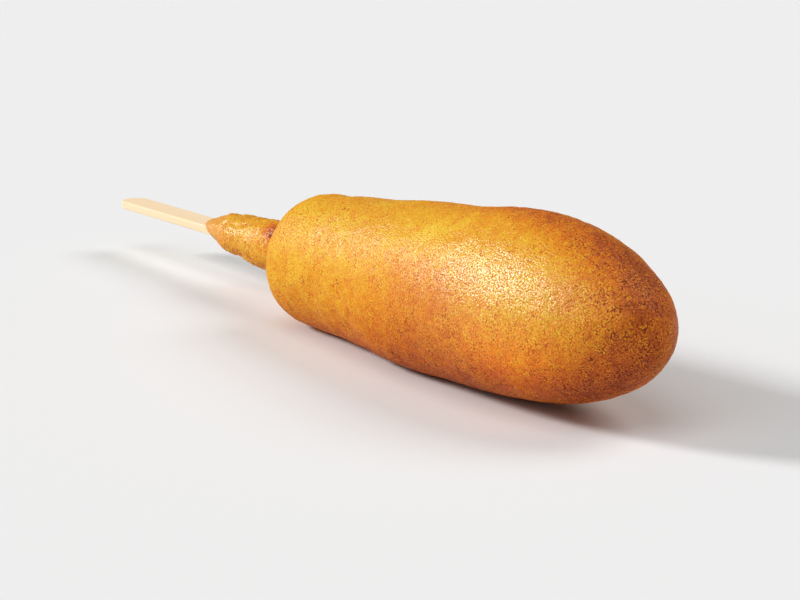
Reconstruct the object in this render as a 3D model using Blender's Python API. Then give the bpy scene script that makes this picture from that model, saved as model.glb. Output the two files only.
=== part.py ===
"""A corn dog lying on its side: one solid of fried batter round a flat wooden stick.

The long axis runs along X, with the rounded tip at +X and the bare end of the stick at -X.
The origin is under the middle of the whole length, on the surface that the corn dog lies on.
Metres, +Z up.
"""
import math
from typing import NamedTuple

import bmesh
import bpy
from mathutils import Matrix, Vector

# The fried body, measured from its back face, where the stick comes out, to its tip.
BODY_LENGTH = 0.1521
BACK_RADIUS = 0.0182
GROWTH_TOWARDS_TIP = 0.0502  # gain in radius for each metre of length
NOSE_LENGTH = 0.0609
NOSE_FULLNESS = 1.92  # exponent of the nose's curve: 2 is an ellipse
SHOULDER_LENGTH = 0.0104
SHOULDER_FULLNESS = 2.7
BODY_ARCH = 0.0006  # the middle of the body lies this much higher than its ends
RESTING_FLAT = 0.0009  # depth that lying on its side has pressed flat

# The stick: a flat bar with half-round ends, its faces up and down.
STICK_WIDTH = 0.0086
STICK_THICKNESS = 0.0025
STICK_LENGTH = 0.1780
STICK_EXPOSED = 0.1102  # from the back face of the body to the bare end
STICK_EDGE_ROUNDING = 0.0004
STICK_DROP = math.radians(1.2)  # it sinks towards its bare end
STICK_YAW = math.radians(0.4)
STICK_CLEARANCE = 0.0003  # air between the stick and the batter round it

# The collar: batter that ran out along the stick before it was fried.
COLLAR_REACH = 0.0580  # mean length along the stick
COLLAR_SLANT = 0.0045  # its edge reaches further on one side
COLLAR_SLANT_TOWARDS = math.radians(20.0)
COLLAR_ROOT_COVER = 0.0060  # batter above and below the stick, at the back face
COLLAR_ROOT_SIDE = 0.0030  # batter beside the stick, at the back face
COLLAR_EDGE_COVER = 0.0006
COLLAR_TAPER = 2.3  # exponent: it thins slowly at first and quickly near its edge
COLLAR_FILLET_ALONG = 0.0055
COLLAR_FILLET_RADIAL = 0.0043
EDGE_WAVES = ((4, 0.0008, 0.3), (7, 0.0005, 1.4))  # waves round the edge, size, start angle

# Mesh density.
AROUND = 48
NOSE_RINGS = 16
TRUNK_RINGS = 21
SHOULDER_RINGS = 8
FILLET_RINGS = 5
COLLAR_RINGS = 24
STICK_END_STEPS = 16

TOTAL_LENGTH = BODY_LENGTH + STICK_EXPOSED
BACK_FACE_X = STICK_EXPOSED - TOTAL_LENGTH / 2.0
FLAT_LEVEL = RESTING_FLAT


class Swelling(NamedTuple):
    """A soft rise in the skin, or a dip where its height is below zero."""

    along: float  # metres from the back face; below zero it is on the collar
    around: float  # degrees about the long axis: 0 at +Y, 90 on top
    height: float
    reach: float
    spread: float = 55.0  # degrees


BODY_SWELLINGS = (
    Swelling(0.015, 70.0, -0.0010, 0.011),
    Swelling(0.038, 70.0, -0.0011, 0.015),
    Swelling(0.074, 70.0, -0.0007, 0.0125),
    Swelling(0.112, 70.0, 0.0007, 0.020),
    Swelling(0.139, 70.0, -0.0004, 0.009),
    Swelling(0.062, -130.0, 0.0015, 0.0157, 35.0),
    Swelling(0.103, -110.0, -0.0007, 0.0126),
    Swelling(0.121, -110.0, -0.0004, 0.0116),
    Swelling(0.030, -20.0, 0.0006, 0.013),
    Swelling(0.088, -15.0, -0.0006, 0.016),
)

COLLAR_SWELLINGS = (
    Swelling(-0.0490, 67.0, 0.0009, 0.0018, 45.0),
    Swelling(-0.0400, 67.0, 0.0004, 0.0030, 50.0),
    Swelling(-0.0510, -115.0, -0.0007, 0.0060, 50.0),
    Swelling(-0.0250, -60.0, 0.0007, 0.0060, 60.0),
    Swelling(-0.0370, 190.0, 0.0006, 0.0050, 50.0),
)


def clear_scene():
    """Remove whatever objects the file held."""
    for thing in list(bpy.data.objects):
        bpy.data.objects.remove(thing, do_unlink=True)


def finish(name, colour, roughness):
    """A plain food or wood surface, with its colour in linear values."""
    material = bpy.data.materials.new(name)
    material.use_nodes = True
    shader = material.node_tree.nodes["Principled BSDF"]
    shader.inputs["Base Color"].default_value = (*colour, 1.0)
    shader.inputs["Roughness"].default_value = roughness
    shader.inputs["Metallic"].default_value = 0.0
    return material


def add_object(name, mesh, material=None):
    """Turn a bmesh into a named, smooth-shaded object."""
    data = bpy.data.meshes.new(name)
    bmesh.ops.recalc_face_normals(mesh, faces=mesh.faces)
    mesh.to_mesh(data)
    mesh.free()
    data.shade_smooth()
    data.set_sharp_from_angle(angle=math.radians(40.0))
    thing = bpy.data.objects.new(name, data)
    bpy.context.scene.collection.objects.link(thing)
    if material is not None:
        data.materials.append(material)
    return thing


def trunk_radius(x):
    """Radius of the body, ends left out, at x metres from its back face."""
    return BACK_RADIUS + GROWTH_TOWARDS_TIP * x


def axis_height(x):
    """Height of the body's axis over the surface, before the flat is pressed."""
    share = x / BODY_LENGTH
    return trunk_radius(x) + BODY_ARCH * 4.0 * share * (1.0 - share)


def swelling_height(swellings, along, angle):
    """Sum of the rises at one point of the skin."""
    total = 0.0
    for swelling in swellings:
        turn = math.degrees(angle) - swelling.around
        turn = (turn + 180.0) % 360.0 - 180.0
        fade_along = math.exp(-((along - swelling.along) / swelling.reach) ** 2)
        fade_around = math.exp(-((turn / swelling.spread) ** 2))
        total += swelling.height * fade_along * fade_around
    return total


def ring_angles():
    """Angles of a ring's points about the long axis, from +Y over the top."""
    return [2.0 * math.pi * step / AROUND for step in range(AROUND)]


def body_ring(x, fullness):
    """Ring of the body at x, its trunk radius drawn in by fullness."""
    points = []
    for angle in ring_angles():
        radius = fullness * (trunk_radius(x) + swelling_height(BODY_SWELLINGS, x, angle))
        y = radius * math.cos(angle)
        z = axis_height(x) + radius * math.sin(angle)
        points.append(Vector((BACK_FACE_X + x, y, z)))
    return points


def nose_rings():
    """Rings of the nose, from beside the tip back to where the nose begins."""
    power = 2.0 / NOSE_FULLNESS
    rings = []
    for step in range(1, NOSE_RINGS + 1):
        turn = 0.5 * math.pi * step / NOSE_RINGS
        x = BODY_LENGTH - NOSE_LENGTH * (1.0 - max(math.cos(turn), 0.0) ** power)
        rings.append(body_ring(x, math.sin(turn) ** power))
    return rings


def trunk_rings():
    """Evenly spaced rings between the nose and the shoulder."""
    front = BODY_LENGTH - NOSE_LENGTH
    pitch = (front - SHOULDER_LENGTH) / (TRUNK_RINGS + 1)
    return [body_ring(front - pitch * step, 1.0) for step in range(1, TRUNK_RINGS + 1)]


def shoulder_rings():
    """Rings that turn in from the trunk towards the back face, down to the collar's fillet."""
    power = 2.0 / SHOULDER_FULLNESS
    fillet_share = (collar_root_radius() + COLLAR_FILLET_RADIAL) / BACK_RADIUS
    last_turn = math.acos(fillet_share ** (1.0 / power))
    rings = []
    for step in range(SHOULDER_RINGS + 1):
        turn = last_turn * step / SHOULDER_RINGS
        x = SHOULDER_LENGTH * (1.0 - math.sin(turn) ** power)
        rings.append(body_ring(x, math.cos(turn) ** power))
    return rings


def collar_root_radius():
    """Radius of the collar where it leaves the fillet."""
    return STICK_THICKNESS / 2.0 + COLLAR_ROOT_COVER


def fillet_rings(start):
    """Hollow quarter turn from the last shoulder ring down to the collar."""
    centre = sum(start, Vector()) / len(start)
    rings = []
    for step in range(1, FILLET_RINGS + 1):
        turn = 0.5 * math.pi * step / (FILLET_RINGS + 1)
        back = COLLAR_FILLET_ALONG * (1.0 - math.cos(turn))
        inwards = COLLAR_FILLET_RADIAL * math.sin(turn)
        ring = []
        for point in start:
            outward = (point - centre).normalized()
            ring.append(point - outward * inwards - Vector((back, 0.0, 0.0)))
        rings.append(ring)
    return rings


def stick_line(outwards):
    """Point on the stick's centre line, outwards metres behind the back face."""
    return Vector((
        BACK_FACE_X - outwards,
        -outwards * math.tan(STICK_YAW),
        axis_height(0.0) - outwards * math.tan(STICK_DROP),
    ))


def collar_edge(angle):
    """How far along the stick the batter reaches at one side of it."""
    reach = COLLAR_REACH + COLLAR_SLANT * math.cos(angle - COLLAR_SLANT_TOWARDS)
    for waves, size, start in EDGE_WAVES:
        reach += size * math.sin(waves * angle + start)
    return reach


def collar_rings():
    """Rings of the collar: round at its root and flat like the stick at its edge."""
    root = COLLAR_FILLET_ALONG - SHOULDER_LENGTH * 0.1
    rings = []
    for step in range(COLLAR_RINGS + 1):
        ring = []
        for angle in ring_angles():
            outwards = root + (collar_edge(angle) - root) * step / COLLAR_RINGS
            share = (outwards / collar_edge(angle)) ** COLLAR_TAPER
            cover = COLLAR_ROOT_COVER + (COLLAR_EDGE_COVER - COLLAR_ROOT_COVER) * share
            side = COLLAR_ROOT_SIDE + (COLLAR_EDGE_COVER - COLLAR_ROOT_SIDE) * share
            half_width = STICK_WIDTH / 2.0 + side
            half_height = STICK_THICKNESS / 2.0 + cover
            squareness = 2.0 + 1.5 * share ** 2
            flat = abs(math.cos(angle) / half_width) ** squareness
            tall = abs(math.sin(angle) / half_height) ** squareness
            radius = (flat + tall) ** (-1.0 / squareness)
            radius += swelling_height(COLLAR_SWELLINGS, -outwards, angle)
            across = Vector((0.0, radius * math.cos(angle), radius * math.sin(angle)))
            ring.append(stick_line(outwards) + across)
        rings.append(ring)
    return rings


def close_end(mesh, corners, tip):
    """Close an end ring with a fan of faces round a tip."""
    cap = mesh.faces.new(corners)
    fan = bmesh.ops.poke(mesh, faces=[cap])
    fan["verts"][0].co = tip


def skin_over(mesh, rings, first_tip, last_tip):
    """Bridge a stack of rings into one closed skin, drawn to a point at each end."""
    stack = [[mesh.verts.new(point) for point in ring] for ring in rings]
    loops = []
    for corners in stack:
        neighbours = zip(corners, corners[1:] + corners[:1])
        loops.append([mesh.edges.new(pair) for pair in neighbours])
    for before, after in zip(loops, loops[1:]):
        bmesh.ops.bridge_loops(mesh, edges=before + after)
    close_end(mesh, stack[0], first_tip)
    close_end(mesh, stack[-1], last_tip)


def press_flat(mesh, level):
    """Cut away what lies below a level and close the cut with one flat face."""
    everything = mesh.verts[:] + mesh.edges[:] + mesh.faces[:]
    cut = bmesh.ops.bisect_plane(
        mesh,
        geom=everything,
        plane_co=(0.0, 0.0, level),
        plane_no=(0.0, 0.0, -1.0),
        clear_outer=True,
    )
    rim = [part for part in cut["geom_cut"] if isinstance(part, bmesh.types.BMEdge)]
    bmesh.ops.contextual_create(mesh, geom=rim)


def stick_mesh(spare):
    """The flat stick along X about its middle, grown by spare on every side."""
    half_length = STICK_LENGTH / 2.0 + spare
    half_width = STICK_WIDTH / 2.0 + spare
    half_thickness = STICK_THICKNESS / 2.0 + spare
    mesh = bmesh.new()
    outline = []
    for end in (1.0, -1.0):
        centre_x = end * (half_length - half_width)
        for step in range(STICK_END_STEPS + 1):
            turn = math.pi * (step / STICK_END_STEPS - 0.5)
            x = centre_x + end * half_width * math.cos(turn)
            y = end * half_width * math.sin(turn)
            outline.append(mesh.verts.new((x, y, -half_thickness)))
    under = mesh.faces.new(outline)
    raised = bmesh.ops.extrude_face_region(mesh, geom=[under])
    top_corners = [part for part in raised["geom"] if isinstance(part, bmesh.types.BMVert)]
    bmesh.ops.translate(mesh, vec=(0.0, 0.0, 2.0 * half_thickness), verts=top_corners)
    long_edges = [edge for edge in mesh.edges if is_level(edge)]
    bmesh.ops.bevel(
        mesh,
        geom=long_edges,
        offset=STICK_EDGE_ROUNDING,
        segments=2,
        profile=0.5,
        affect="EDGES",
    )
    return mesh


def is_level(edge):
    """Whether an edge runs round the top or the underside and not up the side."""
    first, second = edge.verts
    return abs(first.co.z - second.co.z) < STICK_EDGE_ROUNDING


def stick_placement():
    """Where the stick's middle lies, and how it drops and turns."""
    middle = stick_line(STICK_EXPOSED - STICK_LENGTH / 2.0)
    return (
        Matrix.Translation(middle)
        @ Matrix.Rotation(STICK_YAW, 4, "Z")
        @ Matrix.Rotation(-STICK_DROP, 4, "Y")
    )


def build_stick(material):
    """The wooden stick, in one piece from its bare end to inside the body."""
    stick = add_object("stick", stick_mesh(0.0), material)
    stick.matrix_world = Matrix.Translation((0.0, 0.0, -FLAT_LEVEL)) @ stick_placement()
    return stick


def build_slot_cutter():
    """The room that the stick takes up in the batter, never a piece itself."""
    cutter = add_object("stick_slot", stick_mesh(STICK_CLEARANCE))
    cutter.matrix_world = Matrix.Translation((0.0, 0.0, -FLAT_LEVEL)) @ stick_placement()
    cutter.display_type = "WIRE"
    cutter.hide_render = True
    return cutter


def build_batter(material, cutter):
    """Body and collar as one solid, pressed flat below and slotted for the stick."""
    shoulder = shoulder_rings()
    rings = nose_rings() + trunk_rings() + shoulder
    rings += fillet_rings(shoulder[-1]) + collar_rings()
    nose_tip = Vector((BACK_FACE_X + BODY_LENGTH, 0.0, axis_height(BODY_LENGTH)))
    mesh = bmesh.new()
    skin_over(mesh, rings, nose_tip, stick_line(COLLAR_REACH))
    press_flat(mesh, FLAT_LEVEL)
    bmesh.ops.translate(mesh, vec=(0.0, 0.0, -FLAT_LEVEL), verts=mesh.verts)
    batter = add_object("batter", mesh, material)
    slot = batter.modifiers.new("slot", "BOOLEAN")
    slot.operation = "DIFFERENCE"
    slot.solver = "EXACT"
    slot.object = cutter
    return batter


def main():
    """Build the two pieces of the corn dog."""
    clear_scene()
    crust = finish("fried_batter", (0.60, 0.27, 0.065), 0.5)
    wood = finish("bare_wood", (0.86, 0.71, 0.47), 0.65)
    build_stick(wood)
    build_batter(crust, build_slot_cutter())


main()
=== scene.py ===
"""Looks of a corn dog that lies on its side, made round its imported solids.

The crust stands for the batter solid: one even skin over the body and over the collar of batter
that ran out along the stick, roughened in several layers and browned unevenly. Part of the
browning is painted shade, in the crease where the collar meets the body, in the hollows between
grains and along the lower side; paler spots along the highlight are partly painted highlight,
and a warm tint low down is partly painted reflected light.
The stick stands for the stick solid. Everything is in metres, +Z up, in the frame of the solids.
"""

import logging
import math
from dataclasses import dataclass
from enum import Enum

import bpy
import numpy as np
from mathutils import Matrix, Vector

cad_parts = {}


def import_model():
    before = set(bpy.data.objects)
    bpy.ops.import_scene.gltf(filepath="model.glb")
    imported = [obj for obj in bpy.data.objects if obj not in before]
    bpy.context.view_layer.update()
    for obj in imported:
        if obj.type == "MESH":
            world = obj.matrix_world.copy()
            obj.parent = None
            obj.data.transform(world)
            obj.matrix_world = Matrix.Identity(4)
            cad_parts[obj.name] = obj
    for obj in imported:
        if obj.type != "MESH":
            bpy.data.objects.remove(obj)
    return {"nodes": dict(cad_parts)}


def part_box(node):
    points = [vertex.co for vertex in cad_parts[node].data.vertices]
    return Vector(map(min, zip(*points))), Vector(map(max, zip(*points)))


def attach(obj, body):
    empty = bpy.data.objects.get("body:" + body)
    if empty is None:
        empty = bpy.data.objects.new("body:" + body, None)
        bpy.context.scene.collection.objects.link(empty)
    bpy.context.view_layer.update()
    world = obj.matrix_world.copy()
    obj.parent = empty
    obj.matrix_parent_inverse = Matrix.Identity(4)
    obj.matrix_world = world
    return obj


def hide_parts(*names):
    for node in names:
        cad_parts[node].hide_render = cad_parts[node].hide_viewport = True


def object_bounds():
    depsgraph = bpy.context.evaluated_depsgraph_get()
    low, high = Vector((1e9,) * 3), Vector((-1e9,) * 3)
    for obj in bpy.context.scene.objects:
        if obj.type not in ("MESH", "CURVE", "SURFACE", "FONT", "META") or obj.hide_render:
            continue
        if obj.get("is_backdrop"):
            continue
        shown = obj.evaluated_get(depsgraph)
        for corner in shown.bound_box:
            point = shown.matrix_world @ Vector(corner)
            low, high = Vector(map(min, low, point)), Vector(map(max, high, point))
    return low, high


Colour = tuple[float, float, float]
Stop = tuple[float, Colour]

LOG = logging.getLogger("corn_dog")
BODY = "root"


class Noise(Enum):
    """The families of irregular pattern that roughen a skin."""

    SOFT = "soft"
    CELLS = "cells"
    CREASES = "creases"


@dataclass(frozen=True)
class Relief:
    """One layer of roughness pressed into a skin.

    Attributes:
        pattern: the family of its pattern.
        grain: size of one bump, in metres.
        height: from the deepest pit to the highest bump, in metres.
        level: the share of the pattern that leaves the skin where it is.
        group: name of the vertex group that it is limited to, or nothing for all over.
    """

    pattern: Noise
    grain: float
    height: float
    level: float = 0.5
    group: str = ""


@dataclass(frozen=True)
class Patch:
    """A soft-edged area of the skin made darker or paler; some follow the frying, others are painted
    shade and painted highlight.

    Attributes:
        along: metres from the body's back face towards the tip.
        around: degrees about the long axis, 0 at +Y and 90 on top.
        reach: half length along the axis, in metres.
        spread: half width round the axis, in degrees.
        shade: what it adds to the browning, which also holds painted shade and painted light.
    """

    along: float
    around: float
    reach: float
    spread: float
    shade: float


class Bench:
    """Operator calls that every piece needs, on one object at a time."""

    @staticmethod
    def clear() -> None:
        """Leave object mode selected and nothing picked."""
        if bpy.context.object is not None and bpy.context.object.mode != "OBJECT":
            bpy.ops.object.mode_set(mode="OBJECT")
        bpy.ops.object.select_all(action="DESELECT")

    @staticmethod
    def pick(thing: bpy.types.Object) -> None:
        """Select one object alone and make it the active one.

        Args:
            thing: the object to work on.
        """
        Bench.clear()
        thing.select_set(True)
        bpy.context.view_layer.objects.active = thing

    @staticmethod
    def apply_all(thing: bpy.types.Object) -> None:
        """Apply an object's modifiers from first to last.

        Args:
            thing: the object whose modifiers are applied.
        """
        Bench.pick(thing)
        for modifier in list(thing.modifiers):
            bpy.ops.object.modifier_apply(modifier=modifier.name)

    @staticmethod
    def settle(thing: bpy.types.Object) -> None:
        """Move an object's place, turn and scale into its mesh.

        Args:
            thing: the object to settle at the origin.
        """
        Bench.pick(thing)
        bpy.ops.object.transform_apply(location=True, rotation=True, scale=True)

    @staticmethod
    def merged_copy(things: list[bpy.types.Object]) -> bpy.types.Object:
        """Copy some objects and join the copies into one to measure against.

        Args:
            things: the objects, which stay as they are.

        Returns:
            The joined copy.
        """
        Bench.clear()
        for thing in things:
            copy = thing.copy()
            copy.data = thing.data.copy()
            bpy.context.scene.collection.objects.link(copy)
            copy.select_set(True)
            bpy.context.view_layer.objects.active = copy
        bpy.ops.object.join()
        bpy.ops.object.mode_set(mode="EDIT")
        bpy.ops.mesh.select_all(action="SELECT")
        bpy.ops.mesh.remove_doubles(threshold=1e-6)
        bpy.ops.object.mode_set(mode="OBJECT")
        return bpy.context.object

    @staticmethod
    def points(thing: bpy.types.Object) -> np.ndarray:
        """Read the vertices of a mesh.

        Args:
            thing: the object to read.

        Returns:
            One row of x, y and z for each vertex.
        """
        flat = np.empty(len(thing.data.vertices) * 3)
        thing.data.vertices.foreach_get("co", flat)
        return flat.reshape(-1, 3)

    @staticmethod
    def store(thing: bpy.types.Object, name: str, values: np.ndarray) -> None:
        """Keep one number for each vertex as a named attribute.

        Args:
            thing: the object that carries the attribute.
            name: the attribute's name, which a finish reads.
            values: one number for each vertex.
        """
        attribute = thing.data.attributes.new(name, "FLOAT", "POINT")
        attribute.data.foreach_set("value", values.astype(np.float32))

    @staticmethod
    def group(thing: bpy.types.Object, name: str, weights: np.ndarray, steps: int = 24) -> None:
        """Make a vertex group with graded weights.

        Args:
            thing: the object that gets the group.
            name: the group's name.
            weights: one weight from 0 to 1 for each vertex.
            steps: how many levels the weights are rounded to.
        """
        target = thing.vertex_groups.new(name=name)
        level = np.rint(weights * steps).astype(int)
        for step in range(1, steps + 1):
            members = np.flatnonzero(level == step).tolist()
            if members:
                target.add(members, step / steps, "REPLACE")


class NodeSheet:
    """The node tree of one material, with a short call for each node that the finishes use."""

    def __init__(self, name: str) -> None:
        """Start a material with its Principled shader.

        Args:
            name: the material's name.
        """
        self.material = bpy.data.materials.new(name)
        self.material.use_nodes = True
        self.tree = self.material.node_tree
        self.shader = self.tree.nodes["Principled BSDF"]
        self.place = self.add("ShaderNodeTexCoord").outputs["Object"]

    def add(self, kind: str) -> bpy.types.Node:
        """Add a node of one kind."""
        return self.tree.nodes.new(kind)

    def join(self, source: object, target: bpy.types.NodeSocket) -> None:
        """Feed a socket from another socket, or set it to a plain number.

        Args:
            source: an output socket, or a number.
            target: the input socket.
        """
        if isinstance(source, bpy.types.NodeSocket):
            self.tree.links.new(source, target)
        else:
            target.default_value = source

    def stretched(self, stretch: Colour) -> bpy.types.NodeSocket:
        """Object coordinates with each axis multiplied, for patterns that run along the piece.

        Args:
            stretch: the factors for X, Y and Z.

        Returns:
            The stretched coordinates.
        """
        mapping = self.add("ShaderNodeMapping")
        self.join(self.place, mapping.inputs["Vector"])
        mapping.inputs["Scale"].default_value = stretch
        return mapping.outputs["Vector"]

    def moved(self, drift: Colour) -> bpy.types.NodeSocket:
        """Object coordinates shifted, to pick another stretch of an endless pattern.

        Args:
            drift: the shift along X, Y and Z, in metres.

        Returns:
            The shifted coordinates.
        """
        mapping = self.add("ShaderNodeMapping")
        self.join(self.place, mapping.inputs["Vector"])
        mapping.inputs["Location"].default_value = drift
        return mapping.outputs["Vector"]

    def attribute(self, name: str) -> bpy.types.NodeSocket:
        """Read a number kept on the mesh.

        Args:
            name: the attribute's name.

        Returns:
            Its value at each point.
        """
        node = self.add("ShaderNodeAttribute")
        node.attribute_name = name
        return node.outputs["Fac"]

    def noise(self, size: float, detail: float = 2.0, place: object = None) -> bpy.types.NodeSocket:
        """Soft noise.

        Args:
            size: size of one patch, in metres.
            detail: how many finer layers it has.
            place: coordinates, or nothing for the piece's own.

        Returns:
            The noise, about 0.5 on average.
        """
        node = self.add("ShaderNodeTexNoise")
        self.join(place or self.place, node.inputs["Vector"])
        node.inputs["Scale"].default_value = 1.0 / size
        node.inputs["Detail"].default_value = detail
        return node.outputs["Fac"]

    def domes(self, size: float, smooth: bool = True) -> bpy.types.NodeSocket:
        """Low domes side by side, like packed grains.

        Args:
            size: size of one grain, in metres.
            smooth: whether the valleys between grains are rounded too.

        Returns:
            The height, 1 in the middle of each grain.
        """
        node = self.add("ShaderNodeTexVoronoi")
        node.feature = "SMOOTH_F1" if smooth else "F1"
        self.join(self.place, node.inputs["Vector"])
        node.inputs["Scale"].default_value = 1.0 / size
        off_middle = node.outputs["Distance"]
        return self.maths("SUBTRACT", 1.0, self.maths("MULTIPLY", off_middle, off_middle))

    def maths(self, operation: str, first: object, second: object = 0.0) -> bpy.types.NodeSocket:
        """Work out one number from two.

        Args:
            operation: the operation's name, such as ADD.
            first: a socket or a number.
            second: a socket or a number.

        Returns:
            The result.
        """
        node = self.add("ShaderNodeMath")
        node.operation = operation
        self.join(first, node.inputs[0])
        self.join(second, node.inputs[1])
        return node.outputs[0]

    def spread(self, value: object, low: float, high: float, floor: float = 0.0,
               ceiling: float = 1.0) -> bpy.types.NodeSocket:
        """Map a range of values onto another, clamped at both ends.

        Args:
            value: the socket to map.
            low: the value that becomes the floor.
            high: the value that becomes the ceiling.
            floor: the lowest result.
            ceiling: the highest result.

        Returns:
            The mapped value.
        """
        node = self.add("ShaderNodeMapRange")
        self.join(value, node.inputs["Value"])
        node.inputs["From Min"].default_value = low
        node.inputs["From Max"].default_value = high
        node.inputs["To Min"].default_value = floor
        node.inputs["To Max"].default_value = ceiling
        return node.outputs["Result"]

    def ramp(self, value: object, stops: tuple[Stop, ...]) -> bpy.types.NodeSocket:
        """Turn a number into a colour.

        Args:
            value: the socket that picks the colour.
            stops: positions and their colours, in rising order.

        Returns:
            The colour.
        """
        node = self.add("ShaderNodeValToRGB")
        self.join(value, node.inputs["Fac"])
        points = node.color_ramp.elements
        points.remove(points[1])
        points[0].position = stops[0][0]
        points[0].color = (*stops[0][1], 1.0)
        for position, colour in stops[1:]:
            points.new(position).color = (*colour, 1.0)
        return node.outputs["Color"]

    def mix(self, share: object, first: object, second: object,
            manner: str = "MIX") -> bpy.types.NodeSocket:
        """Mix two colours.

        Args:
            share: how much of the second.
            first: a colour or a socket.
            second: a colour or a socket.
            manner: the blending mode.

        Returns:
            The mixed colour.
        """
        node = self.add("ShaderNodeMix")
        node.data_type = "RGBA"
        node.blend_type = manner
        self.join(share, node.inputs[0])
        for source, target in ((first, node.inputs[6]), (second, node.inputs[7])):
            if isinstance(source, tuple):
                target.default_value = (*source, 1.0)
            else:
                self.join(source, target)
        return node.outputs[2]

    def bump(self, height: object, depth: float, strength: float = 1.0,
             under: object = None) -> bpy.types.NodeSocket:
        """Roughen the shading.

        Args:
            height: the socket that gives the height, from 0 to 1.
            depth: how deep a step of 1 is, in metres.
            strength: how much of it shows.
            under: the normal of a coarser bump to build on.

        Returns:
            The roughened normal.
        """
        node = self.add("ShaderNodeBump")
        self.join(height, node.inputs["Height"])
        node.inputs["Distance"].default_value = depth
        node.inputs["Strength"].default_value = strength
        if under is not None:
            self.join(under, node.inputs["Normal"])
        return node.outputs["Normal"]


@dataclass(frozen=True)
class FriedCrust:
    """Finish of the fried batter: golden to dark brown, finely grained, with a film of oil, and with
    painted shade and painted light in its browning.
    """

    slot: str = "fried_batter"
    browning_and_painted_light_stops: tuple[Stop, ...] = (
        (0.00, (0.83, 0.610, 0.060)),
        (0.20, (0.77, 0.485, 0.024)),
        (0.35, (0.74, 0.370, 0.014)),
        (0.50, (0.71, 0.250, 0.010)),
        (0.70, (0.58, 0.128, 0.011)),
        (0.86, (0.33, 0.058, 0.011)),
        (1.00, (0.17, 0.025, 0.006)),
    )
    soaked_stops: tuple[Stop, ...] = (
        (0.30, (0.78, 0.36, 0.070)),
        (1.00, (0.73, 0.355, 0.100)),
    )
    # Tint for the ruddy attribute: partly redder crust, partly painted warm reflected light.
    ruddy_and_bounce_tint: Colour = (1.24, 0.95, 1.0)
    broad: tuple[float, float] = (0.015, 0.19)
    mottle: tuple[float, float] = (0.0047, 0.33)
    fleck: tuple[float, float] = (0.0017, 0.20)
    grain: float = 0.0009
    fine_grain: float = 0.00028
    grain_depth: float = 0.00012
    speck: float = 0.00050
    speck_depth: float = 0.00014
    drift: Colour = (0.013, 0.007, 0.0)
    patchiness: float = 0.0060
    scatter: float = 0.0015
    # The valley and hollow darkening below is partly browner crust, partly painted shade in the
    # hollows.
    gap_painted_shade: float = 0.22
    gap_share: float = 0.48
    pit_shade: float = 0.24
    pit_share: float = 0.42
    sunk_painted_shade: float = 0.16
    roughness: tuple[float, float] = (0.45, 0.62)
    bare_ior: float = 1.17
    film_roughness: float = 0.30
    film_ior: float = 1.80
    film_tint: Colour = (1.0, 0.97, 0.88)

    def build(self) -> bpy.types.Material:
        """Make the material.

        Returns:
            The finished material.
        """
        sheet = NodeSheet("fried_crust")
        sheet.place = sheet.moved(self.drift)
        grains = sheet.domes(self.grain)
        fine = sheet.noise(self.fine_grain, 1.0)
        specks = sheet.domes(self.speck, False)
        # Browning read from the mesh: it also holds painted shade in the crease, the hollows and the
        # lower side, and painted highlight in pale spots.
        browning_and_painted_light = sheet.attribute("browning_and_painted_light")
        for size, amount in (self.broad, self.mottle, self.fleck):
            centred = sheet.maths("SUBTRACT", sheet.noise(size, 3.0), 0.5)
            browning_and_painted_light = sheet.maths("ADD", browning_and_painted_light, sheet.maths("MULTIPLY", centred, amount))
        patchy = sheet.spread(sheet.noise(self.patchiness, 2.0), 0.35, 0.65, 0.7, 1.2)
        scattered = sheet.spread(sheet.noise(self.scatter, 2.0), 0.35, 0.65, 0.35, 1.75)
        uneven = sheet.maths("MULTIPLY", patchy, sheet.attribute("coarse"))
        uneven = sheet.maths("MULTIPLY", uneven, scattered)
        # Darker in the valleys between the bumped grains: partly browner crust, partly painted
        # shade; the pits are fine random dark specks.
        gaps = sheet.maths("SUBTRACT", sheet.spread(specks, 0.90, 0.50), self.gap_share)
        pits = sheet.maths("SUBTRACT", sheet.spread(fine, 0.60, 0.35), self.pit_share)
        for hollow, amount in ((gaps, self.gap_painted_shade), (pits, self.pit_shade)):
            swing = sheet.maths("MULTIPLY", sheet.maths("MULTIPLY", hollow, amount), uneven)
            browning_and_painted_light = sheet.maths("ADD", browning_and_painted_light, swing)
        # Darker in the sunk hollows of the mesh relief: partly browner crust, partly painted shade.
        sunk = sheet.spread(sheet.attribute("relief"), 0.0, -0.00030)
        browning_and_painted_light = sheet.maths("ADD", browning_and_painted_light, sheet.maths("MULTIPLY", sunk, self.sunk_painted_shade))
        colour = sheet.ramp(browning_and_painted_light, self.browning_and_painted_light_stops)
        broken = sheet.spread(sheet.noise(self.patchiness, 2.0), 0.35, 0.65, 0.5, 1.3)
        soaked = sheet.maths("MULTIPLY", sheet.attribute("soaked"), broken)
        colour = sheet.mix(soaked, colour, sheet.ramp(soaked, self.soaked_stops))
        # Multiply in the redder tint: partly redder crust, partly painted warm reflected light low
        # down.
        colour = sheet.mix(sheet.attribute("ruddy_and_painted_bounce"), colour, self.ruddy_and_bounce_tint, "MULTIPLY")
        sheet.join(colour, sheet.shader.inputs["Base Color"])
        normal = sheet.bump(grains, self.grain_depth)
        normal = sheet.bump(specks, self.speck_depth, 1.0, normal)
        sheet.join(normal, sheet.shader.inputs["Normal"])
        sheet.join(normal, sheet.shader.inputs["Coat Normal"])
        roughness = sheet.spread(sheet.noise(0.0045, 3.0), 0.3, 0.7, *self.roughness)
        sheet.join(roughness, sheet.shader.inputs["Roughness"])
        crowns = sheet.spread(specks, 0.60, 0.96, 0.42, 1.0)
        film = sheet.maths("MULTIPLY", sheet.attribute("oil"), crowns)
        sheet.join(film, sheet.shader.inputs["Coat Weight"])
        sheet.shader.inputs["IOR"].default_value = self.bare_ior
        sheet.shader.inputs["Coat Roughness"].default_value = self.film_roughness
        sheet.shader.inputs["Coat IOR"].default_value = self.film_ior
        sheet.shader.inputs["Coat Tint"].default_value = (*self.film_tint, 1.0)
        return sheet.material


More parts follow.
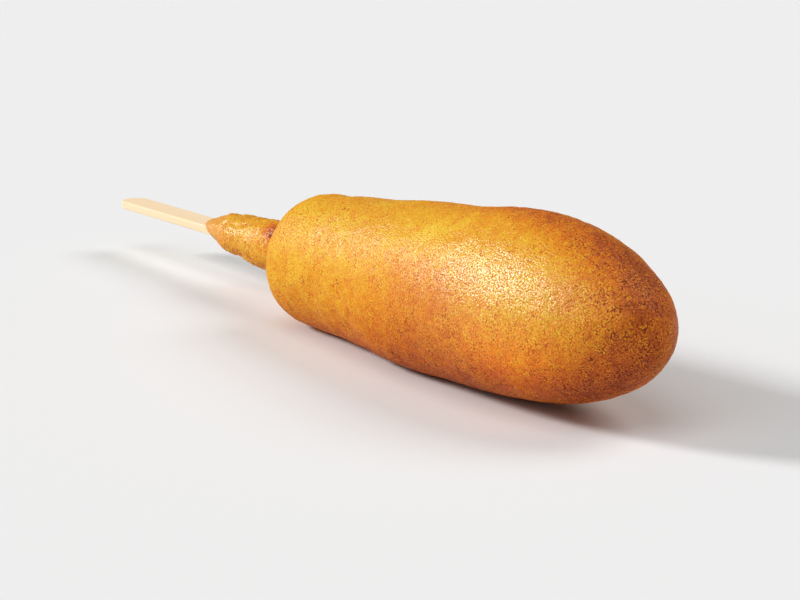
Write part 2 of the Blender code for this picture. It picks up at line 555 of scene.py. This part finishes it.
@dataclass(frozen=True)
class BareWood:
    """Finish of the stick: pale unvarnished wood with a fine straight grain."""

    slot: str = "bare_wood"
    pale: Colour = (0.90, 0.70, 0.455)
    deep: Colour = (0.86, 0.655, 0.405)
    fibre: float = 0.00035

    def build(self) -> bpy.types.Material:
        """Make the material.

        Returns:
            The finished material.
        """
        sheet = NodeSheet("pale_wood")
        along = sheet.stretched((0.04, 1.0, 1.0))
        fibres = sheet.noise(self.fibre, 4.0, along)
        bands = sheet.noise(0.0022, 2.0, along)
        shade = sheet.maths("ADD", sheet.maths("MULTIPLY", fibres, 0.5),
                            sheet.maths("MULTIPLY", bands, 0.5))
        shade = sheet.spread(shade, 0.35, 0.68)
        colour = sheet.mix(shade, self.pale, self.deep)
        sheet.join(colour, sheet.shader.inputs["Base Color"])
        sheet.join(sheet.bump(fibres, 0.00006), sheet.shader.inputs["Normal"])
        sheet.join(sheet.spread(fibres, 0.2, 0.8, 0.5, 0.7), sheet.shader.inputs["Roughness"])
        return sheet.material


@dataclass(frozen=True)
class Section:
    """One slice through the batter, square to X.

    Attributes:
        centre: the middle of the slice.
        half_width: half its size along Y, in metres.
        half_height: half its size along Z, in metres.
    """

    centre: Vector
    half_width: float
    half_height: float


@dataclass
class CrustSkin:
    """The crust over the body and the collar, as one closed skin."""

    node: str = "batter"
    body_length: float = 0.1521
    nose_length: float = 0.0609
    trunk_radius: float = 0.0200
    shoulder_length: float = 0.0104
    fillet_length: float = 0.0055
    collar_reach: float = 0.0580
    collar_slant: float = 0.0045
    slant_towards: float = math.radians(20.0)
    around: int = 48
    nose_rings: int = 15
    shoulder_rings: int = 8
    ring_pitch: float = 0.0040
    collar_pitch: float = 0.0022
    voxel: float = 0.00056
    overrun: float = 0.0035
    thin_length: float = 0.0110
    thin_depth: float = 0.0008
    soak_length: float = 0.0180
    edge_share: float = 0.62
    base_shade: float = 0.39
    finish: FriedCrust = FriedCrust()
    swells: tuple[Relief, ...] = (
        Relief(Noise.SOFT, 0.011, 0.00050),
        Relief(Noise.SOFT, 0.0042, 0.00026),
    )
    relief: tuple[Relief, ...] = (
        Relief(Noise.CELLS, 0.0024, 0.00014),
        Relief(Noise.SOFT, 0.0013, 0.00024),
        Relief(Noise.SOFT, 0.0036, 0.00100, 0.5, "collar"),
        Relief(Noise.CELLS, 0.0019, 0.00045, 0.4, "collar"),
    )
    patches: tuple[Patch, ...] = (
        Patch(0.160, 150.0, 0.020, 400.0, 0.30),
        Patch(0.145, 78.0, 0.018, 42.0, 0.25),
        # Darker along the lower side and under the tip: partly browner crust, partly painted shade.
        Patch(0.080, 248.0, 0.100, 41.0, 0.37),
        Patch(0.144, 238.0, 0.018, 42.0, 0.20),
        Patch(0.060, 5.0, 0.110, 70.0, 0.17),
        Patch(0.114, 84.0, 0.032, 26.0, 0.24),
        Patch(0.120, 204.0, 0.012, 16.0, -0.06),
        # Darker low on the near side: partly browner crust, partly painted shade.
        Patch(0.088, 198.0, 0.034, 36.0, 0.17),
        Patch(0.090, 166.0, 0.013, 16.0, 0.12),
        # Paler where the key light's highlight falls: partly paler crust, partly painted highlight.
        Patch(0.116, 146.0, 0.022, 22.0, -0.04),
        Patch(0.127, 102.0, 0.006, 9.0, 0.07),
        Patch(0.114, 96.0, 0.005, 8.0, 0.09),
        Patch(0.131, 206.0, 0.010, 24.0, -0.06),
        Patch(0.131, 162.0, 0.008, 14.0, -0.07),
        Patch(0.143, 168.0, 0.009, 28.0, -0.13),
        Patch(0.097, 86.0, 0.010, 16.0, 0.10),
        Patch(0.022, 104.0, 0.012, 16.0, 0.04),
        # The paler spots below (negative shade) lie along the band where the key light's highlight
        # runs: partly paler crust, partly painted highlight.
        Patch(0.016, 118.0, 0.007, 22.0, -0.08),
        Patch(0.030, 130.0, 0.013, 20.0, -0.05),
        Patch(0.053, 132.0, 0.006, 20.0, 0.08),
        Patch(0.081, 128.0, 0.009, 12.0, -0.07),
        Patch(0.070, 128.0, 0.050, 30.0, -0.06),
        # The patches at -0.0090, -0.0135 and -0.0085 (all round) darken the crease where the collar
        # meets the body: painted shade.
        Patch(-0.0090, 100.0, 0.0062, 42.0, 0.40),
        Patch(-0.0135, 128.0, 0.0050, 28.0, 0.22),
        Patch(-0.0410, 200.0, 0.0050, 30.0, 0.16),
        Patch(-0.0085, 0.0, 0.0050, 4000.0, 0.14),
        Patch(-0.035, 120.0, 0.020, 120.0, -0.02),
    )
    oiled: tuple[Patch, ...] = (
        Patch(0.115, 150.0, 0.029, 46.0, 0.95),
        Patch(0.050, 126.0, 0.050, 36.0, 0.75),
        Patch(-0.038, 120.0, 0.028, 70.0, 1.00),
        Patch(0.060, 20.0, 0.090, 60.0, 0.50),
        Patch(-0.0095, 110.0, 0.0060, 60.0, -0.45),
    )
    # Redder tint: partly a redder crust, partly painted warm reflected light on the lower side, at
    # 207 and 250 degrees.
    reddened_and_painted_bounce: tuple[Patch, ...] = (
        Patch(0.122, 207.0, 0.016, 24.0, 1.00),
        Patch(0.050, 250.0, 0.060, 40.0, 0.25),
        Patch(0.060, 350.0, 0.090, 62.0, 0.40),
        Patch(-0.030, 350.0, 0.030, 90.0, 0.35),
    )
    coarsened: tuple[Patch, ...] = (
        Patch(-0.0300, 0.0, 0.0280, 4000.0, 0.20),
        Patch(0.0260, 112.0, 0.0240, 46.0, 0.50),
        Patch(0.0750, 190.0, 0.0300, 34.0, -0.20),
    )
    lumps: tuple[Patch, ...] = (
        Patch(-0.0438, 94.0, 0.0020, 32.0, 0.00100),
        Patch(-0.0402, 94.0, 0.0015, 32.0, -0.00040),
        Patch(-0.0362, 96.0, 0.0026, 36.0, 0.00045),
        Patch(-0.0460, 170.0, 0.0040, 40.0, -0.00060),
        Patch(-0.0370, 190.0, 0.0045, 34.0, 0.00055),
        Patch(-0.0250, 250.0, 0.0050, 35.0, 0.00050),
        Patch(-0.0350, 20.0, 0.0045, 32.0, 0.00045),
    )

    def build(self, solids: dict[str, bpy.types.Object]) -> bpy.types.Object:
        """Model the crust, roughen it and dress it.

        Args:
            solids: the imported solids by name.

        Returns:
            The finished piece.
        """
        low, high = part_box(self.node)
        self.tip_x = high.x
        self.back_x = high.x - self.body_length
        self.end_x = low.x - self.overrun
        guide = Bench.merged_copy(list(solids.values()))
        self.sections = [self.section(guide, x) for x in self.stations()]
        skin = self.cage()
        self.fit(skin, guide)
        bpy.data.objects.remove(guide)
        self.weigh(skin, Bench.points(skin))
        self.thin_out(skin)
        self.raise_lumps(skin)
        self.roughen(skin, self.swells)
        smooth = Bench.points(skin)
        self.roughen(skin, self.relief)
        self.mark(skin, smooth)
        self.rest_on_floor(skin)
        Bench.pick(skin)
        bpy.ops.object.shade_smooth()
        skin.data.materials.append(self.finish.build())
        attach(skin, BODY)
        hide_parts(self.node)
        return skin

    def stations(self) -> list[float]:
        """Choose where along the axis the cage gets a ring.

        Returns:
            Places on X, from the collar's edge to just behind the tip.
        """
        nose_x = self.tip_x - self.nose_length
        shoulder_x = self.back_x + self.shoulder_length
        places = []
        collar_root = self.back_x - self.fillet_length
        collar_steps = round((collar_root - self.end_x) / self.collar_pitch)
        for step in range(collar_steps):
            places.append(self.end_x + (collar_root - self.end_x) * step / collar_steps)
        for share in (1.0, 0.62, 0.32, 0.12):
            places.append(self.back_x - self.fillet_length * share)
        for step in range(self.shoulder_rings, -1, -1):
            turn = math.radians(80.0) * step / self.shoulder_rings
            places.append(shoulder_x - self.shoulder_length * math.sin(turn))
        trunk_steps = round((nose_x - shoulder_x) / self.ring_pitch)
        for step in range(1, trunk_steps):
            places.append(shoulder_x + (nose_x - shoulder_x) * step / trunk_steps)
        for step in range(self.nose_rings):
            turn = 0.5 * math.pi * step / self.nose_rings
            places.append(nose_x + self.nose_length * math.sin(turn))
        return places

    def section(self, guide: bpy.types.Object, x: float) -> Section:
        """Measure a slice of batter and stick from outside.

        Args:
            guide: batter and stick as one.
            x: where to slice them.

        Returns:
            The slice's middle and half sizes.
        """
        far = 0.1
        x_read = min(x, self.tip_x - self.voxel)
        top = guide.ray_cast(Vector((x_read, 0.0, far)), Vector((0.0, 0.0, -1.0)))[1]
        bottom = guide.ray_cast(Vector((x_read, 0.0, -far)), Vector((0.0, 0.0, 1.0)))[1]
        z = (top.z + bottom.z) / 2.0
        left = guide.ray_cast(Vector((x_read, far, z)), Vector((0.0, -1.0, 0.0)))[1]
        right = guide.ray_cast(Vector((x_read, -far, z)), Vector((0.0, 1.0, 0.0)))[1]
        y = (left.y + right.y) / 2.0
        return Section(Vector((x, y, z)), (left.y - right.y) / 2.0, (top.z - bottom.z) / 2.0)

    def cage(self) -> bpy.types.Object:
        """Extrude a disc ring by ring from the collar's edge to the tip.

        Returns:
            The coarse closed cage.
        """
        first = self.sections[0]
        Bench.clear()
        bpy.ops.mesh.primitive_circle_add(
            vertices=self.around,
            radius=1.0,
            fill_type="NGON",
            location=first.centre,
            rotation=(0.0, math.pi / 2.0, 0.0),
        )
        skin = bpy.context.object
        skin.name = "crust"
        Bench.settle(skin)
        bpy.ops.object.mode_set(mode="EDIT")
        bpy.ops.mesh.select_all(action="SELECT")
        bpy.ops.transform.resize(
            value=(1.0, first.half_width, first.half_height), center_override=first.centre
        )
        for before, after in zip(self.sections, self.sections[1:]):
            bpy.ops.mesh.extrude_region_move(
                TRANSFORM_OT_translate={
                    "value": after.centre - before.centre,
                    "orient_type": "GLOBAL",
                }
            )
            growth = (
                1.0,
                after.half_width / before.half_width,
                after.half_height / before.half_height,
            )
            bpy.ops.transform.resize(value=growth, center_override=after.centre)
        bpy.ops.mesh.select_all(action="SELECT")
        bpy.ops.mesh.normals_make_consistent(inside=False)
        bpy.ops.object.mode_set(mode="OBJECT")
        return skin

    def fit(self, skin: bpy.types.Object, guide: bpy.types.Object) -> None:
        """Draw the cage onto the solids, round it, and rebuild it with even faces.

        Args:
            skin: the cage.
            guide: batter and stick as one.
        """
        wrap = skin.modifiers.new("wrap", "SHRINKWRAP")
        wrap.target = guide
        wrap.wrap_method = "NEAREST_SURFACEPOINT"
        rounding = skin.modifiers.new("rounding", "SUBSURF")
        rounding.levels = 2
        rounding.render_levels = 2
        even = skin.modifiers.new("even", "REMESH")
        even.mode = "VOXEL"
        even.voxel_size = self.voxel
        ease = skin.modifiers.new("ease", "SMOOTH")
        ease.factor = 0.5
        ease.iterations = 6
        Bench.apply_all(skin)

    def around_axis(self, points: np.ndarray) -> tuple[np.ndarray, np.ndarray, np.ndarray]:
        """Find where points lie on the skin.

        Args:
            points: one row for each vertex.

        Returns:
            Metres from the back face towards the tip, the angle about the axis in degrees, and
            metres from the axis.
        """
        places = [section.centre.x for section in self.sections]
        middle_y = np.interp(points[:, 0], places, [s.centre.y for s in self.sections])
        middle_z = np.interp(points[:, 0], places, [s.centre.z for s in self.sections])
        aside = points[:, 1] - middle_y
        above = points[:, 2] - middle_z
        angle = np.degrees(np.arctan2(above, aside))
        return points[:, 0] - self.back_x, angle, np.hypot(aside, above)

    def to_edge(self, points: np.ndarray) -> np.ndarray:
        """Measure how far points lie from the collar's slanting edge.

        Args:
            points: one row for each vertex.

        Returns:
            Metres from the edge, along the stick.
        """
        along, angle, _ = self.around_axis(points)
        slant = np.cos(np.radians(angle) - self.slant_towards)
        return self.collar_reach + self.collar_slant * slant + along

    def thinness(self, points: np.ndarray) -> np.ndarray:
        """Say how much the collar has thinned out towards its edge.

        Args:
            points: one row for each vertex.

        Returns:
            From 0 for full thickness to 1 past the edge.
        """
        share = 1.0 - self.to_edge(points) / self.thin_length
        return np.clip(self.edge_share * share, 0.0, 1.0)

    def weigh(self, skin: bpy.types.Object, points: np.ndarray) -> None:
        """Mark the rough collar and its thin edge with vertex groups.

        Args:
            skin: the even skin.
            points: its vertices.
        """
        along = points[:, 0] - self.back_x
        Bench.group(skin, "collar", np.clip(-along / 0.006, 0.0, 1.0))
        Bench.group(skin, "edge", self.thinness(points))

    def thin_out(self, skin: bpy.types.Object) -> None:
        """Sink the collar's edge until it dips into the stick.

        Args:
            skin: the even skin with its vertex groups.
        """
        thin = skin.modifiers.new("thin", "DISPLACE")
        thin.strength = -self.thin_depth
        thin.mid_level = 0.0
        thin.vertex_group = "edge"

    def roughen(self, skin: bpy.types.Object, layers: tuple[Relief, ...]) -> None:
        """Press layers of relief into the skin.

        Args:
            skin: the even skin with its vertex groups.
            layers: the layers, in order.
        """
        for number, layer in enumerate(layers):
            press = skin.modifiers.new(f"relief_{number}", "DISPLACE")
            press.texture = self.pattern(layer)
            press.texture_coords = "LOCAL"
            press.strength = layer.height
            press.mid_level = layer.level
            press.vertex_group = layer.group
        Bench.apply_all(skin)

    def pattern(self, layer: Relief) -> bpy.types.Texture:
        """Make the pattern of one layer of relief.

        Args:
            layer: the layer.

        Returns:
            A texture that the displacement reads.
        """
        if layer.pattern is Noise.CELLS:
            texture = bpy.data.textures.new("cells", "VORONOI")
            texture.noise_scale = layer.grain
            return texture
        texture = bpy.data.textures.new("soft", "CLOUDS")
        texture.noise_scale = layer.grain
        texture.noise_depth = 2
        if layer.pattern is Noise.CREASES:
            texture.noise_basis = "VORONOI_CRACKLE"
        return texture

    def within(self, points: np.ndarray, patch: Patch) -> np.ndarray:
        """Say how far points lie inside a patch with a soft outline.

        Args:
            points: one row for each vertex.
            patch: the patch.

        Returns:
            From 1 in its middle to 0 well outside.
        """
        along, angle, radius = self.around_axis(points)
        turn = (angle - patch.around + 180.0) % 360.0 - 180.0
        aside = np.exp(-((turn / patch.spread) ** 2))
        evened = min(patch.spread * math.sqrt(math.pi) / 360.0, 1.0)
        sided = np.where(along > 0.0, np.minimum(radius / self.trunk_radius, 1.0), 1.0)
        fade = np.exp(-((along - patch.along) / patch.reach) ** 2)
        return fade * (evened + (aside - evened) * sided)

    def raise_lumps(self, skin: bpy.types.Object) -> None:
        """Swell the few lumps of batter that stand out from the collar.

        Args:
            skin: the even skin.
        """
        points = Bench.points(skin)
        for number, lump in enumerate(self.lumps):
            Bench.group(skin, f"lump_{number}", self.within(points, lump))
            swell = skin.modifiers.new(f"lump_{number}", "DISPLACE")
            swell.strength = lump.shade
            swell.mid_level = 0.0
            swell.vertex_group = f"lump_{number}"
        Bench.apply_all(skin)

    def mark(self, skin: bpy.types.Object, smooth: np.ndarray) -> None:
        """Keep browning with its painted shade and light, oil, a warm tint that is partly painted
        reflected light, relief and thinness on the mesh for the finish to read.

        Args:
            skin: the roughened skin.
            smooth: its vertices before it was roughened.
        """
        rough = Bench.points(skin)
        for name, patches, base in (
            ("browning_and_painted_light", self.patches, self.base_shade),
            ("oil", self.oiled, 0.0),
            ("ruddy_and_painted_bounce", self.reddened_and_painted_bounce, 0.0),
            ("coarse", self.coarsened, 1.0),
        ):
            shade = np.full(len(smooth), base)
            for patch in patches:
                shade += patch.shade * self.within(smooth, patch)
            Bench.store(skin, name, shade)
        normals = np.empty(len(smooth) * 3)
        skin.data.vertices.foreach_get("normal", normals)
        rise = np.einsum("ij,ij->i", rough - smooth, normals.reshape(-1, 3))
        Bench.store(skin, "relief", rise)
        Bench.store(skin, "soaked", np.clip(1.0 - self.to_edge(smooth) / self.soak_length, 0.0, 1.0))

    def rest_on_floor(self, skin: bpy.types.Object) -> None:
        """Press flat whatever reaches below the surface that the corn dog lies on.

        Args:
            skin: the roughened skin.
        """
        sunk = Bench.points(skin)[:, 2] < 0.0
        Bench.pick(skin)
        bpy.ops.object.mode_set(mode="EDIT")
        bpy.ops.mesh.select_mode(type="VERT")
        bpy.ops.mesh.select_all(action="DESELECT")
        bpy.ops.object.mode_set(mode="OBJECT")
        skin.data.vertices.foreach_set("select", sunk)
        bpy.ops.object.mode_set(mode="EDIT")
        bpy.ops.transform.resize(value=(1.0, 1.0, 0.0), center_override=(0.0, 0.0, 0.0))
        bpy.ops.object.mode_set(mode="OBJECT")


@dataclass
class WoodenStick:
    """The flat stick with rounded ends, in one piece."""

    node: str = "stick"
    width: float = 0.0086
    thickness: float = 0.0025
    edge_rounding: float = 0.0004
    end_steps: int = 16
    voxel: float = 0.00022
    fibre: float = 0.0006
    fibre_depth: float = 0.00006
    finish: BareWood = BareWood()

    def build(self, solids: dict[str, bpy.types.Object]) -> bpy.types.Object:
        """Model the stick and dress it.

        Args:
            solids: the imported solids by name.

        Returns:
            The finished piece.
        """
        stick = self.blank(solids[self.node])
        self.round_edges(stick)
        self.raise_fibres(stick)
        Bench.settle(stick)
        bpy.ops.object.shade_smooth()
        stick.data.materials.append(self.finish.build())
        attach(stick, BODY)
        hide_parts(self.node)
        return stick

    def blank(self, solid: bpy.types.Object) -> bpy.types.Object:
        """Cut a square-ended bar along the solid's own line.

        Args:
            solid: the stick solid.

        Returns:
            The bar, still turned by its object.
        """
        points = Bench.points(solid)
        middle_x = (points[:, 0].min() + points[:, 0].max()) / 2.0
        outer = points[points[:, 0] < middle_x]
        inner = points[points[:, 0] > middle_x]
        outer_middle = (outer.min(0) + outer.max(0)) / 2.0
        inner_middle = (inner.min(0) + inner.max(0)) / 2.0
        run = inner_middle - outer_middle
        run /= np.linalg.norm(run)
        reach = points @ run
        Bench.clear()
        bpy.ops.mesh.primitive_cube_add(
            size=1.0,
            location=(outer_middle + inner_middle) / 2.0,
            rotation=(0.0, -math.asin(run[2]), math.atan2(run[1], run[0])),
            scale=(reach.max() - reach.min(), self.width, self.thickness),
        )
        stick = bpy.context.object
        stick.name = "wooden_stick"
        bpy.ops.object.transform_apply(location=False, rotation=False, scale=True)
        return stick

    def bevel(self, stick: bpy.types.Object, chosen: list[bool], offset: float,
              segments: int) -> None:
        """Round some edges.

        Args:
            stick: the bar.
            chosen: for each edge, whether it is rounded.
            offset: how far the rounding reaches, in metres.
            segments: how many faces it has.
        """
        Bench.pick(stick)
        bpy.ops.object.mode_set(mode="EDIT")
        bpy.ops.mesh.select_mode(type="EDGE")
        bpy.ops.mesh.select_all(action="DESELECT")
        bpy.ops.object.mode_set(mode="OBJECT")
        stick.data.edges.foreach_set("select", chosen)
        bpy.ops.object.mode_set(mode="EDIT")
        bpy.ops.mesh.bevel(offset=offset, segments=segments, affect="EDGES")
        bpy.ops.object.mode_set(mode="OBJECT")

    def round_edges(self, stick: bpy.types.Object) -> None:
        """Make both ends half round and take the sharpness off the long edges.

        Args:
            stick: the square-ended bar.
        """
        upright = [self.rise(stick, edge) > self.thickness / 2.0 for edge in stick.data.edges]
        self.bevel(stick, upright, self.width / 2.0 - 0.00002, self.end_steps)
        level = [self.rise(stick, edge) < self.thickness / 2.0 for edge in stick.data.edges]
        self.bevel(stick, level, self.edge_rounding, 3)

    def rise(self, stick: bpy.types.Object, edge: bpy.types.MeshEdge) -> float:
        """How far an edge climbs from one end to the other, in metres."""
        first, second = edge.vertices
        return abs(stick.data.vertices[first].co.z - stick.data.vertices[second].co.z)

    def raise_fibres(self, stick: bpy.types.Object) -> None:
        """Give the wood its fine lengthwise fibres.

        Args:
            stick: the rounded bar.
        """
        guide = bpy.data.objects.new("fibre_guide", None)
        bpy.context.scene.collection.objects.link(guide)
        guide.location = stick.location
        guide.rotation_euler = stick.rotation_euler
        guide.scale = (30.0, 1.0, 1.0)
        bpy.context.view_layer.update()
        even = stick.modifiers.new("even", "REMESH")
        even.mode = "VOXEL"
        even.voxel_size = self.voxel
        ease = stick.modifiers.new("ease", "SMOOTH")
        ease.factor = 0.5
        ease.iterations = 2
        texture = bpy.data.textures.new("fibres", "CLOUDS")
        texture.noise_scale = self.fibre
        fibres = stick.modifiers.new("fibres", "DISPLACE")
        fibres.texture = texture
        fibres.texture_coords = "OBJECT"
        fibres.texture_coords_object = guide
        fibres.strength = self.fibre_depth
        Bench.apply_all(stick)
        bpy.data.objects.remove(guide)


@dataclass(frozen=True)
class Softbox:
    """A soft lamp so far off that it lights the whole floor evenly.

    Attributes:
        name: what the lamp is called.
        azimuth: degrees it stands round from -Y towards +X.
        elevation: degrees over the floor.
        width: degrees that its face spans, seen from the corn dog.
        strength: watts for each square metre that it lights.
    """

    name: str
    azimuth: float
    elevation: float
    width: float
    strength: float


@dataclass
class Studio:
    """Floor, lamps, surrounding light and camera."""

    middle: Vector
    floor_size: float = 40.0
    floor_colour: Colour = (0.76, 0.76, 0.76)
    surround: float = 0.12
    backdrop: float = 1.0
    camera_azimuth: float = 57.446
    camera_elevation: float = 12.868
    camera_distance: float = 0.6
    camera_lens: float = 108.57
    aim_offset: Vector = Vector((0.0448, -0.0130, -0.0041))
    lamps: tuple[Softbox, ...] = (
        Softbox("key", -48.0, 27.0, 13.5, 2.74),
        Softbox("front", 5.0, 34.0, 40.0, 0.50),
        Softbox("top", 40.0, 62.0, 40.0, 0.75),
        Softbox("rear", 165.0, 50.0, 38.0, 1.28),
    )

    def direction(self, azimuth: float, elevation: float) -> Vector:
        """Unit vector from the corn dog towards a lamp or the camera.

        Args:
            azimuth: degrees round from -Y towards +X.
            elevation: degrees over the floor.

        Returns:
            The direction.
        """
        turn = math.radians(azimuth)
        lift = math.radians(elevation)
        flat = math.cos(lift)
        return Vector((math.sin(turn) * flat, -math.cos(turn) * flat, math.sin(lift)))

    def build(self) -> None:
        """Set up everything round the corn dog."""
        self.add_floor()
        for lamp in self.lamps:
            self.add_lamp(lamp)
        self.add_surround()
        self.add_camera()
        bpy.context.scene.view_settings.view_transform = "Standard"

    def add_floor(self) -> None:
        """Lay the plain pale floor."""
        Bench.clear()
        bpy.ops.mesh.primitive_plane_add(size=self.floor_size, location=(0.0, 0.0, 0.0))
        floor = bpy.context.object
        floor.name = "floor"
        sheet = NodeSheet("pale_floor")
        sheet.shader.inputs["Base Color"].default_value = (*self.floor_colour, 1.0)
        sheet.shader.inputs["Roughness"].default_value = 0.9
        sheet.shader.inputs["Specular IOR Level"].default_value = 0.0
        floor.data.materials.append(sheet.material)
        floor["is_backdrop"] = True

    def add_lamp(self, lamp: Softbox) -> None:
        """Place one softbox.

        Args:
            lamp: its place, size and strength.
        """
        data = bpy.data.lights.new(lamp.name, "SUN")
        data.angle = math.radians(lamp.width)
        data.energy = lamp.strength
        thing = bpy.data.objects.new(lamp.name, data)
        bpy.context.scene.collection.objects.link(thing)
        towards = self.direction(lamp.azimuth, lamp.elevation)
        thing.location = self.middle + towards
        thing.rotation_euler = towards.to_track_quat("Z", "Y").to_euler()

    def add_surround(self) -> None:
        """Light the scene evenly from all round, before a white backdrop."""
        world = bpy.data.worlds.new("surround")
        bpy.context.scene.world = world
        world.use_nodes = True
        tree = world.node_tree
        light = tree.nodes["Background"]
        light.inputs["Strength"].default_value = self.surround
        light.inputs["Color"].default_value = (1.0, 1.0, 1.0, 1.0)
        seen = tree.nodes.new("ShaderNodeBackground")
        seen.inputs["Strength"].default_value = self.backdrop
        path = tree.nodes.new("ShaderNodeLightPath")
        choice = tree.nodes.new("ShaderNodeMixShader")
        tree.links.new(path.outputs["Is Camera Ray"], choice.inputs[0])
        tree.links.new(light.outputs[0], choice.inputs[1])
        tree.links.new(seen.outputs[0], choice.inputs[2])
        tree.links.new(choice.outputs[0], tree.nodes["World Output"].inputs["Surface"])

    def add_camera(self) -> None:
        """Place the camera, aimed at the thick of the body."""
        data = bpy.data.cameras.new("camera")
        data.lens = self.camera_lens
        data.sensor_width = 36.0
        data.clip_start = 0.01
        camera = bpy.data.objects.new("camera", data)
        bpy.context.scene.collection.objects.link(camera)
        towards = self.direction(self.camera_azimuth, self.camera_elevation)
        camera.location = self.middle + self.aim_offset + towards * self.camera_distance
        camera.rotation_euler = towards.to_track_quat("Z", "Y").to_euler()
        bpy.context.scene.camera = camera


def main() -> None:
    """Build every piece of the corn dog and the studio round it."""
    logging.basicConfig(level=logging.INFO, format="%(name)s: %(message)s")
    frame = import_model()
    cad_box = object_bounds()
    low, high = cad_box
    builders = (CrustSkin(), WoodenStick())
    for builder in builders:
        piece = builder.build(frame["nodes"])
        LOG.info("%s: %d faces", piece.name, len(piece.data.polygons))
    Studio(middle=(Vector(low) + Vector(high)) / 2.0).build()


if __name__ == "__main__":
    main()
